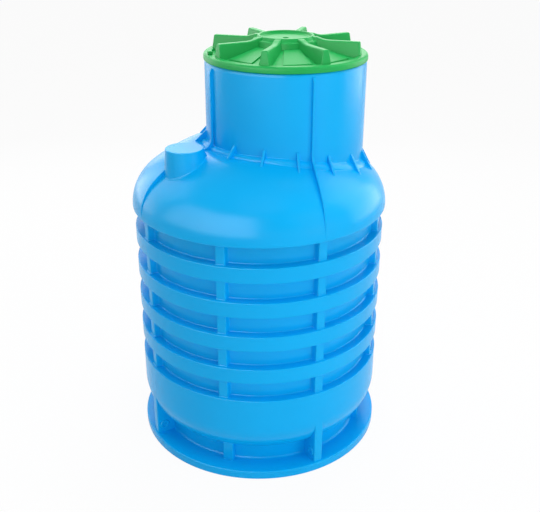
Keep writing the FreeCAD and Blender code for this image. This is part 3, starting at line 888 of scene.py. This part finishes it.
@dataclass
class NeckRibs:
    """The thin seam ribs down the neck and over the dome, and the small gussets round the neck's foot."""

    shoulder: Shoulder = field(default_factory=Shoulder)
    body_radius: float = 0.600
    thickness: float = 0.010
    depth: float = 0.014
    rise: float = 0.030
    end_rise: float = -0.0004
    taper: float = 0.8
    side_turn: float = math.radians(2.75)
    gap: float = 0.014
    run_out: float = 0.030
    run_out_steps: int = 5
    corner_rise: float = 0.02
    sink: float = 0.004
    root_sink: float = 0.01
    root_steps: float = 4.0
    root_inset: float = 0.014
    dome_steps: int = 36
    flare: float = 0.055
    flare_rise: float = 0.003
    flare_root: Point = (0.010, 0.012)
    flare_steps: int = 8
    boss_reach: Point = (0.470, 0.520)
    boss_root: float = 0.030
    crease: float = 60.0
    edge_round: float = 0.0025
    edge_steps: int = 3
    gusset_height: float = 0.052
    gusset_reach: float = 0.054
    gusset_turn: float = math.radians(1.3)
    gusset_thickness: float = 0.011
    gusset_root: float = 0.01
    gusset_tip: float = 0.004
    gusset_pitches: int = 16

    def angle(self, side: Side) -> float:
        """Return a seam rib's direction from the neck's axis."""
        across = RIGHT_ANGLE + math.atan(self.shoulder.neck_offset / self.body_radius)
        return {Side.RIGHT: 0.0, Side.BACK: across, Side.LEFT: math.pi, Side.FRONT: -across}[side]

    def plane(self, angle: float) -> Matrix:
        """Return the upright plane through the neck's axis at an angle."""
        return upright(self.shoulder.neck_offset, angle)

    def plan(self, angle: float, reach: float) -> Point:
        """Return the plan of a point at a reach from the neck's axis."""
        return polar(reach, angle, (self.shoulder.neck_offset, 0.0))

    def dome_level(self, angle: float, reach: float) -> float:
        """Return the dome's height at a reach from the neck's axis."""
        return self.shoulder.dome.height(*self.plan(angle, reach))

    def dome_reach(self, angle: float) -> float:
        """Return the reach from the neck's axis to the dome's edge."""
        along, across = polar(self.shoulder.neck_offset, angle)
        return math.sqrt(self.shoulder.dome.edge_radius ** 2 - across ** 2) - along

    def top_stations(self) -> list[Station]:
        """Draw a seam rib's run-out at the neck's top.

        Returns:
            The inner and the outer point of each station, as reaches and heights.
        """
        neck, top = self.shoulder.neck_radius, self.shoulder.neck_top - self.gap
        root = neck - self.sink
        pairs = [((root, top), (neck - self.sink / 2.0, top))]
        for step in range(1, self.run_out_steps + 1):
            bend = RIGHT_ANGLE * step / self.run_out_steps
            height = top - self.run_out * (1.0 - math.cos(bend))
            pairs.append(((root, height), (neck + self.depth * math.sin(bend), height)))
        return pairs

    def flare_stations(self, angle: float, start: float) -> list[Station]:
        """Draw the hollow flare between the neck and the boss.

        Args:
            angle: The rib's direction from the neck's axis.
            start: Reach of its outer edge on the neck.

        Returns:
            The inner and the outer point of each station.
        """
        low = self.dome_level(angle, start + self.flare) + self.flare_rise
        pairs = []
        for step in range(self.flare_steps + 1):
            bend = RIGHT_ANGLE * step / self.flare_steps
            reach = start + self.flare * (1.0 - math.cos(bend))
            pairs.append(((reach - self.flare_root[0], low - self.flare_root[1]),
                          (reach, low + self.flare * (1.0 - math.sin(bend)))))
        end = self.boss_reach[0]
        return pairs + [((end, low - self.boss_root), (end, low))]

    def dome_stations(self, angle: float, start: float, inset: float) -> list[Station]:
        """Draw a seam rib's run over the dome to its edge.

        Args:
            angle: The rib's direction from the neck's axis.
            start: Reach of the first station.
            inset: How much deeper the first station's inner point lies.

        Returns:
            The inner and the outer point of each station.
        """
        dome, end, steps, pairs = self.shoulder.dome, self.dome_reach(angle), self.dome_steps, []
        for step in range(steps + 1):
            reach = start + (end - start) * math.sin(RIGHT_ANGLE * step / steps)
            x, y = self.plan(angle, reach)
            run = dome.run(math.hypot(x, y))
            out, up = dome.normal(run)
            height = dome.at(run)[1]
            tilt = out * math.cos(math.atan2(y, x) - angle)
            rise = self.rise + (self.end_rise - self.rise) * (step / steps) ** self.taper
            sink = self.sink + self.root_sink * max(0.0, 1.0 - step / self.root_steps)
            pairs.append(((reach - tilt * sink - (0.0 if step else inset), height - up * sink),
                          (reach + tilt * rise, height + up * rise)))
        return pairs

    def stations(self, side: Side) -> list[Station]:
        """Draw a seam rib from the neck's top to the dome's edge.

        Args:
            side: The rib's side.

        Returns:
            The inner and the outer point of each station.
        """
        angle, neck = self.angle(side), self.shoulder.neck_radius
        outer = neck + self.depth
        if side is Side.LEFT:
            return (self.top_stations() + self.flare_stations(angle, outer)
                    + self.dome_stations(angle, self.boss_reach[1], 0.0))
        corner = self.dome_level(angle, outer) + self.rise + self.corner_rise
        return (self.top_stations() + [((neck - self.sink, corner), (outer, corner))]
                + self.dome_stations(angle, outer, self.root_inset))

    def build_seam(self, side: Side) -> bpy.types.Object:
        """Build one seam rib.

        Args:
            side: The rib's side.

        Returns:
            Its piece.
        """
        form, angle = Form(), self.angle(side)
        lines = [[(x, -self.thickness / 2.0, z) for x, z in pair] for pair in self.stations(side)]
        ends = form.chain(lines[0])
        for places in lines[1:]:
            ends = form.grow(ends, places, closed=False)
        form.thicken(form.bm.faces[:], (0.0, self.thickness, 0.0))
        form.outward()
        crest = creases(form.bm.edges, self.crease)
        form.move(self.plane(angle))
        if side in (Side.BACK, Side.FRONT):
            lower_end = (*self.plan(angle, self.dome_reach(angle)), 0.0)
            turn = Matrix.Rotation(math.copysign(self.side_turn, angle), 3, "Z")
            bmesh.ops.rotate(form.bm, cent=lower_end, matrix=turn, verts=form.bm.verts)
        form.bevel(crest, self.edge_round, self.edge_steps)
        return Piece.make("seam_fin_" + side.value, form, Body.TANK, ["seam_rib_" + side.value])

    def add_gusset(self, form: Form, angle: float) -> None:
        """Add one gusset to a form.

        Args:
            form: The form.
            angle: The gusset's direction from the neck's axis.
        """
        neck, root = self.shoulder.neck_radius, self.shoulder.neck_radius - self.sink
        reach = neck + self.gusset_reach
        top = self.dome_level(angle, neck) + self.gusset_height
        foot = self.dome_level(angle, reach)
        outline = [(root, foot - self.gusset_root), (reach, foot - self.gusset_root),
                   (reach, foot + self.gusset_tip), (neck + self.gusset_tip, top), (root, top)]
        edges = form.plate(outline, self.gusset_thickness, self.plane(angle))[1]
        form.bevel(edges, self.edge_round, self.edge_steps)

    def build(self) -> list[bpy.types.Object]:
        """Build all ribs and gussets.

        Returns:
            Their pieces.
        """
        pieces = [self.build_seam(side) for side in Side]
        form = Form()
        for number in range(self.gusset_pitches):
            if number % (self.gusset_pitches // 2):
                self.add_gusset(form, FULL_TURN * number / self.gusset_pitches + self.gusset_turn)
        return pieces + [Piece.make("neck_foot_gussets", form, Body.TANK, ["neck_gussets"])]


@dataclass
class BaseFins:
    """The four fins under the bowl with their tie-down eyes, and the short posts between them."""

    chamber: Chamber = field(default_factory=Chamber)
    width: float = 0.044
    sink: float = 0.006
    edge_round: float = 0.005
    edge_steps: int = 4
    eye_radius: float = 0.012
    collar_radius: float = 0.024
    collar_height: float = 0.004
    collar_round: float = 0.002
    collar_steps: int = 3
    shy: float = 0.0003
    eye_rise: float = 0.044
    eye_inset: float = 0.037
    eye_count: int = 40
    hole_count: int = 24
    post_width: float = 0.050
    post_depth: float = 0.032
    bowl_steps: int = 12

    @property
    def eye_spot(self) -> Vector:
        """Place of an eye's middle in its fin's plane."""
        return Vector((self.chamber.body_radius - self.eye_inset, 0.0, self.chamber.flange_height + self.eye_rise))

    def outline(self, reach: float) -> list[Point]:
        """Draw a fin's side, from the foot wall out to a reach and back along the bowl.

        Args:
            reach: How far the fin comes out.

        Returns:
            The outline, a little inside the flange, the foot wall and the bowl.
        """
        wall, bowl = self.chamber.foot_radius, self.chamber.bowl_level
        foot, low = wall - self.sink, self.chamber.flange_height - self.sink
        points = [(foot, low), (reach, low)]
        for step in range(self.bowl_steps + 1):
            radius = reach + (wall - reach) * step / self.bowl_steps
            points.append((radius, bowl(radius) + self.sink))
        return points + [(foot, bowl(wall))]

    def add_eye(self, form: Form, place: Matrix) -> None:
        """Add the ring that lines a fin's eye and stands out as a collar on both sides.

        Args:
            form: The form, still empty.
            place: The fin's plane.
        """
        inner, outer, turn, half = self.eye_radius, self.collar_radius, self.collar_round, self.width / 2.0
        crest = half + self.collar_height - turn
        side = [(inner, 0.0)] + arc_points((inner + turn, crest), turn, 180.0, 90.0, self.collar_steps)
        side += arc_points((outer - turn, crest), turn, 90.0, 0.0, self.collar_steps)
        side += [(outer + turn, half - turn / 2.0), (outer + turn, 0.0)]
        form.turned(side + [(radius, -height) for radius, height in side[-2:0:-1]] + side[:1], self.eye_count)
        form.move(place @ Matrix.Translation(self.eye_spot) @ Matrix.Rotation(RIGHT_ANGLE, 4, "X"))

    def add_fin(self, form: Form, place: Matrix, reach: float, width: float) -> list[BMFace]:
        """Add one fin or post with a rounded outer face.

        Args:
            form: The form.
            place: Its plane.
            reach: How far it comes out.
            width: Its width.

        Returns:
            Its two sides.
        """
        sides, edges = form.plate(self.outline(reach), width, place)
        ahead = place @ Vector((1.0, 0.0, 0.0))
        outer = [e for e in edges if all(v.co.dot(ahead) > reach - MERGE for v in e.verts)]
        form.bevel(outer, self.edge_round, self.edge_steps)
        return [face for face in sides if face.is_valid]

    def build_fin(self, side: Side, place: Matrix) -> bpy.types.Object:
        """Build one fin with its eye.

        Args:
            side: The fin's side.
            place: Its plane.

        Returns:
            Its piece.
        """
        form = Form()
        self.add_eye(form, place)
        sides = self.add_fin(form, place, self.chamber.body_radius - self.shy, self.width)
        across = place.to_3x3() @ Vector((0.0, 1.0, 0.0))
        form.pierce(sides, place @ self.eye_spot, across, (self.eye_radius + self.collar_radius) / 2.0,
                    self.hole_count)
        return Piece.make("tie_fin_" + side.value, form, Body.TANK, ["base_fin_" + side.value])

    def build(self) -> list[bpy.types.Object]:
        """Build the fins and posts.

        Returns:
            Their pieces.
        """
        pieces, posts, step = [], Form(), FULL_TURN / len(Side)
        for number, side in enumerate(Side):
            pieces.append(self.build_fin(side, upright(0.0, step * number)))
            self.add_fin(posts, upright(0.0, step * (number + 0.5)),
                         self.chamber.foot_radius + self.post_depth, self.post_width)
        return pieces + [Piece.make("foot_wall_posts", posts, Body.TANK, ["foot_posts"])]


@dataclass
class Lid:
    """The lift-off lid: a round rim, an eight-sided slope with raised pads, a hub and radial ribs."""

    offset: float = 0.140
    radius: float = 0.378
    seat: float = 1.8763
    height: float = 0.089
    rim_width: float = 0.040
    rim_height: float = 0.030
    rim_round: float = 0.014
    rim_foot_round: float = 0.005
    rim_count: int = 192
    deck_margin: float = 0.001
    deck_drop: float = 0.009
    deck_rise: float = 0.041
    deck_thickness: float = 0.008
    deck_shy: float = 0.0004
    deck_count: int = 96
    deck_smooth: float = 30.0
    sink: float = 0.002
    pad_height: float = 0.006
    pad_start: float = 0.156
    pad_end: float = 0.309
    pad_head_width: float = 0.072
    pad_foot_width: float = 0.132
    pad_turn: float = math.radians(2.2)
    pad_round: float = 0.003
    pad_steps: int = 2
    hub_radius: float = 0.150
    hub_round: float = 0.006
    hub_draft: float = 0.014
    hub_count: int = 128
    ring_radius: float = 0.130
    ring_width: float = 0.012
    ring_height: float = 0.015
    ring_round: float = 0.004
    ring_foot: tuple[Point, ...] = ((0.007, 0.0005), (0.004, 0.003))
    ring_hollow: tuple[Point, ...] = ((0.004, 0.005), (0.014, 0.001))
    socket_radius: float = 0.014
    socket_depth: float = 0.012
    socket_round: float = 0.002
    socket_flat: float = 0.012
    rib_width: float = 0.054
    rib_draft: float = 0.013
    rib_end_draft: float = 0.007
    rib_end: float = 0.350
    rib_shy: float = 0.0003
    rib_round: float = 0.006
    rib_steps: int = 4
    rib_crease: float = 40.0
    rib_margin: float = 0.001
    flare: Point = (0.205, 0.146)
    flare_rise: float = 0.012
    flare_spread: float = 0.002
    flare_steps: int = 6
    ribs: int = 8
    lug_angle: float = math.radians(166.0)
    lug_size: Place = (0.022, 0.030, 0.016)
    lug_round: float = 0.004
    lug_steps: int = 3

    @property
    def inner_edge(self) -> float:
        """Radius of the rim's inner side."""
        return self.radius - self.rim_width

    @property
    def slope_radius(self) -> float:
        """Radius of the corners at the slope's foot."""
        return self.inner_edge - self.deck_margin

    @property
    def shelf(self) -> float:
        """Height of the trough inside the rim."""
        return self.seat + self.rim_height - self.deck_drop

    @property
    def top(self) -> float:
        """Height of the hub and of the ribs."""
        return self.seat + self.height

    @property
    def axis(self) -> Point:
        """Place of the lid's axis in plan."""
        return self.offset, 0.0

    def slope(self, apothem: float) -> float:
        """Return the slope's height at a distance from the axis, along the middle of a panel."""
        flat = math.cos(math.pi / self.ribs)
        low, high = self.slope_radius * flat, self.hub_radius * flat
        return self.shelf + self.deck_rise * (low - apothem) / (low - high)

    def build_rim(self) -> bpy.types.Object:
        """Build the rim.

        Returns:
            Its piece.
        """
        form, top, inner = Form(), self.seat + self.rim_height, self.inner_edge
        foot, turn = self.rim_foot_round, self.rim_round
        outline = [(inner, self.seat)]
        outline += arc_points((self.radius - foot, self.seat + foot), foot, -90.0, 0.0, 3)
        outline += arc_points((self.radius - turn, top - turn), turn, 0.0, 90.0, 6)
        outline += arc_points((inner + foot, top - foot), foot, 90.0, 180.0, 3)
        form.turned(outline + outline[:1], self.rim_count, self.axis)
        return Piece.make("lid_bead", form, Body.LID, ["lid_rim"])

    def build_deck(self) -> bpy.types.Object:
        """Build the trough, the slope and its pads.

        Returns:
            Their piece.
        """
        form = Form()
        base = form.circle(self.inner_edge + self.deck_margin, self.shelf - self.deck_thickness,
                           self.deck_count, self.axis)
        form.close(base)
        form.close(form.lift(base, self.shelf - self.deck_shy))
        foot = form.circle(self.slope_radius, self.shelf - self.sink, self.ribs, self.axis)
        low = form.lift(foot, self.shelf)
        share = self.hub_radius / self.slope_radius
        form.close(form.grow(low, [(self.offset + (v.co.x - self.offset) * share, v.co.y * share,
                                    self.shelf + self.deck_rise) for v in low]))
        form.outward()
        for number in range(self.ribs):
            self.add_pad(form, number)
        return Piece.make("lid_slope", form, Body.LID, ["lid_deck"], self.deck_smooth)

    def add_pad(self, form: Form, number: int) -> None:
        """Add one raised pad to the slope.

        Args:
            form: The form.
            number: The panel's number.
        """
        twist = Matrix.Rotation(self.pad_turn if number % 2 else -self.pad_turn, 4, "Z")
        head, foot = self.pad_head_width / 2.0, self.pad_foot_width / 2.0
        corners = [(self.pad_start, -head), (self.pad_end, -foot), (self.pad_end, foot), (self.pad_start, head)]
        spots = [twist @ Vector((*corner, 0.0)) for corner in corners]
        verts = [form.bm.verts.new((*spot.xy, self.slope(spot.x) - self.sink)) for spot in spots]
        far = form.thicken([form.close(verts)], (0.0, 0.0, self.pad_height + self.sink))[0]
        form.settle(verts + far, upright(self.offset, FULL_TURN / self.ribs * (number + 0.5)))
        form.bevel(edges_at(far), self.pad_round, self.pad_steps)

    def build_hub(self) -> bpy.types.Object:
        """Build the hub with its ring and socket.

        Returns:
            Its piece.
        """
        form, top, hub, turn = Form(), self.top, self.hub_round, self.ring_round
        ring, inside, crest = self.ring_radius, self.ring_radius - self.ring_width, top + self.ring_height - turn
        socket, small, bottom = self.socket_radius, self.socket_round, top - self.socket_depth
        outline = [(0.0, self.shelf), (self.hub_radius + self.hub_draft, self.shelf)]
        outline += arc_points((self.hub_radius - hub, top - hub), hub, 0.0, 90.0, 5)
        outline += [(ring + out, top + rise) for out, rise in self.ring_foot]
        outline += arc_points((ring - turn, crest), turn, 20.0, 90.0, 4)
        outline += arc_points((inside + turn, crest), turn, 90.0, 150.0, 3)
        outline += [(inside - back, top + rise) for back, rise in self.ring_hollow]
        outline += [(socket + self.socket_flat, top)]
        outline += arc_points((socket + small, top - small), small, 90.0, 180.0, 3)
        form.turned(outline + [(socket, bottom), (0.0, bottom)], self.hub_count, self.axis)
        return Piece.make("lid_cap", form, Body.LID, ["lid_hub"])

    def rib_outline(self, start: float, low: float, high: float) -> list[Point]:
        """Draw a rib's side view, level at first and flaring up where it meets the hub.

        Args:
            start: Reach of its inner end.
            low: Height of its foot.
            high: Height of its level top.

        Returns:
            The outline, as reaches and heights.
        """
        outline = [(start, low), (self.rib_end, low), (self.rib_end - self.rib_end_draft, high)]
        for step in range(self.flare_steps + 1):
            reach = self.flare[0] + (self.flare[1] - self.flare[0]) * step / self.flare_steps
            outline.append((reach, high + self.flare_rise * (step / self.flare_steps) ** 2))
        return outline + [(start, high + self.flare_rise + self.rib_margin)]

    def build_rib(self, number: int) -> bpy.types.Object:
        """Build one rib.

        Args:
            number: The rib's number, from 0.

        Returns:
            Its piece.
        """
        form, margin, (wide, tight) = Form(), self.rib_margin, self.flare
        start, low, high = self.ring_radius - self.sink, self.shelf - self.sink, self.top - self.rib_shy
        form.plate(self.rib_outline(start, low, high), self.rib_width, Matrix.Identity(4))
        for vert in form.bm.verts:
            near = max(0.0, (wide - vert.co.x) / (wide - tight))
            half = self.rib_width / 2.0 - self.rib_draft * min(1.0, (vert.co.z - low) / (high - low))
            vert.co.y = math.copysign(half + self.flare_spread * near ** 2, vert.co.y)
        form.bm.normal_update()
        crest = [e for e in creases(form.bm.edges, self.rib_crease)
                 if max(v.co.z for v in e.verts) > low + margin and max(v.co.x for v in e.verts) > start + margin]
        form.bevel(crest, self.rib_round, self.rib_steps)
        form.move(upright(self.offset, FULL_TURN * number / self.ribs))
        form.outward()
        return Piece.make("lid_spoke_%d" % (number + 1), form, Body.LID, ["lid_rib_%d" % (number + 1)])

    def build_lug(self) -> bpy.types.Object:
        """Build the rim's lug.

        Returns:
            Its piece.
        """
        form = Form()
        verts = bmesh.ops.create_cube(form.bm, size=1.0)["verts"]
        bmesh.ops.scale(form.bm, vec=self.lug_size, verts=verts)
        spot = (self.radius - self.rim_round - self.lug_size[0] / 2.0, 0.0,
                self.seat + self.rim_height + self.lug_size[2] / 2.0)
        bmesh.ops.translate(form.bm, vec=spot, verts=verts)
        form.bevel(form.bm.edges[:], self.lug_round, self.lug_steps)
        form.move(upright(self.offset, self.lug_angle))
        return Piece.make("lid_ear", form, Body.LID, ["lid_lug"])

    def build(self) -> list[bpy.types.Object]:
        """Build the whole lid and return its pieces."""
        return [self.build_rim(), self.build_deck(), self.build_hub(),
                *(self.build_rib(number) for number in range(self.ribs)), self.build_lug()]


class Use(Enum):
    """What a lamp is there for: lighting surfaces, showing in the gloss, or both."""

    BOTH = (True, True)
    LIGHT = (True, False)
    GLEAM = (False, True)


@dataclass(frozen=True)
class Lamp:
    """A soft panel that faces a point on the chamber's axis."""

    name: str
    azimuth: float
    reach: float
    level: float
    size: Point
    glow: float
    use: Use = Use.BOTH
    aim: float | None = None

    def build(self) -> None:
        """Hang the panel."""
        light = bpy.data.lights.new(self.name, "AREA")
        light.shape = "RECTANGLE"
        light.size, light.size_y = self.size
        light.energy = self.glow * math.pi * self.size[0] * self.size[1]
        lamp = bpy.data.objects.new(self.name, light)
        lamp.location = (*polar(self.reach, math.radians(self.azimuth)), self.level)
        target = Vector((0.0, 0.0, self.level if self.aim is None else self.aim))
        lamp.rotation_euler = (target - lamp.location).to_track_quat("-Z", "Y").to_euler()
        lamp.visible_camera = False
        lamp.visible_diffuse, lamp.visible_glossy = self.use.value
        bpy.context.scene.collection.objects.link(lamp)


@dataclass
class Studio:
    """The camera, the pale floor and backdrop, and the light."""

    eye: Place = (-1.731, -3.228, 2.579)
    heading: float = math.radians(-29.04)
    pitch: float = math.radians(-24.60)
    roll: float = math.radians(0.18)
    lens: float = 53.38
    sensor: float = 36.0
    room_radius: float = 40.0
    room_height: float = 12.0
    room_count: int = 96
    paper: Colour = (0.86, 0.87, 0.88, 1.0)
    shadow: float = 0.06
    ambient: float = 0.36
    lamps: tuple[Lamp, ...] = (
        Lamp("back_panel", 62.0, 5.2, 4.2, (5.4, 6.0), 1.1),
        Lamp("back_gleam", 66.0, 5.3, 7.0, (5.4, 6.8), 3.0, Use.GLEAM),
        Lamp("left_back_panel", 120.0, 5.0, 4.2, (4.2, 7.0), 1.1),
        Lamp("left_back_gleam", 120.0, 5.1, 4.2, (4.2, 7.0), 1.6, Use.GLEAM),
        Lamp("left_gleam", 176.0, 5.1, 4.1, (3.4, 5.4), 4.6, Use.GLEAM),
        Lamp("front_left_panel", -136.0, 5.0, 5.0, (4.4, 6.0), 0.60, Use.LIGHT),
        Lamp("front_left_gleam", -145.0, 5.1, 4.05, (4.4, 5.5), 6.4, Use.GLEAM),
        Lamp("front_panel", -66.0, 5.2, 3.6, (3.0, 6.4), 1.5, Use.LIGHT),
        Lamp("right_panel", -10.0, 5.0, 4.3, (4.2, 7.4), 0.3),
        Lamp("right_gleam", -10.0, 5.1, 4.3, (4.2, 7.4), 3.6, Use.GLEAM),
        Lamp("key_panel", -112.0, 1.9, 6.9, (3.0, 3.0), 3.4, Use.LIGHT, 1.0),
        Lamp("top_panel", 32.0, 2.2, 6.6, (2.6, 2.6), 5.2, Use.LIGHT, 1.3),
        Lamp("low_panel", -95.0, 4.6, 1.2, (6.0, 2.4), 0.85, Use.LIGHT, 0.9),
    )

    def build_camera(self) -> None:
        """Place the camera as in the photograph."""
        data = bpy.data.cameras.new("photo_camera")
        data.lens = self.lens
        data.sensor_width = self.sensor
        data.sensor_fit = "HORIZONTAL"
        camera = bpy.data.objects.new("photo_camera", data)
        turn = (Matrix.Rotation(self.heading, 4, "Z") @ Matrix.Rotation(RIGHT_ANGLE + self.pitch, 4, "X")
                @ Matrix.Rotation(self.roll, 4, "Z"))
        camera.matrix_world = Matrix.Translation(self.eye) @ turn
        bpy.context.scene.collection.objects.link(camera)
        bpy.context.scene.camera = camera

    def add_stage(self, name: str, form: Form, backing: str, shade: float) -> None:
        """Add a part of the room that shows white and leaves the light as it is.

        Args:
            name: Its name.
            form: Its mesh.
            backing: The shader node that other light meets.
            shade: Share of that shader in what the camera sees.
        """
        paper = Shade(name + "_white")
        back = paper.node(backing, {}, {"Color": self.paper})
        glow = paper.node("ShaderNodeEmission", {}, {"Color": WHITE, "Strength": 1.0})
        seen = [paper.node("ShaderNodeLightPath", output=ray)
                for ray in ("Is Camera Ray", "Is Glossy Ray", "Is Transmission Ray")]
        share = (seen[0] + seen[1] + seen[2]) * (1.0 - shade)
        material = paper.finish(paper.node("ShaderNodeMixShader", {}, {0: share, 1: back, 2: glow}))
        form.place(name, material)

    def build_room(self) -> None:
        """Lay a white floor that keeps a faint shadow, and a white wall far round it."""
        floor, wall = Form(), Form()
        bmesh.ops.create_circle(floor.bm, cap_ends=True, segments=self.room_count, radius=self.room_radius)
        self.add_stage("studio_floor", floor, "ShaderNodeBsdfDiffuse", self.shadow)
        wall.lift(wall.circle(self.room_radius, 0.0, self.room_count), self.room_height)
        self.add_stage("studio_wall", wall, "ShaderNodeBsdfTransparent", 0.0)

    def build_world(self) -> None:
        """Light the scene softly all round."""
        world = bpy.data.worlds.new("studio_world")
        bpy.context.scene.world = world
        world.use_nodes = True
        background = next(n for n in world.node_tree.nodes if n.type == "BACKGROUND")
        background.inputs["Color"].default_value = WHITE
        background.inputs["Strength"].default_value = self.ambient

    def build(self) -> None:
        """Build the whole studio."""
        bpy.context.scene.view_settings.view_transform = "Standard"
        self.build_camera()
        self.build_room()
        self.build_world()
        for lamp in self.lamps:
            lamp.build()


def main() -> None:
    """Build every piece in order, then the studio."""
    logging.basicConfig(level=logging.INFO, format="%(name)s %(message)s")
    for assembly in (Chamber(), Shoulder(), EntryBoss(), NeckRibs(), BaseFins(), Lid()):
        for piece in assembly.build():
            LOG.info("%s: %d faces", piece.name, len(piece.data.polygons))
    Studio().build()


if __name__ == "__main__":
    main()
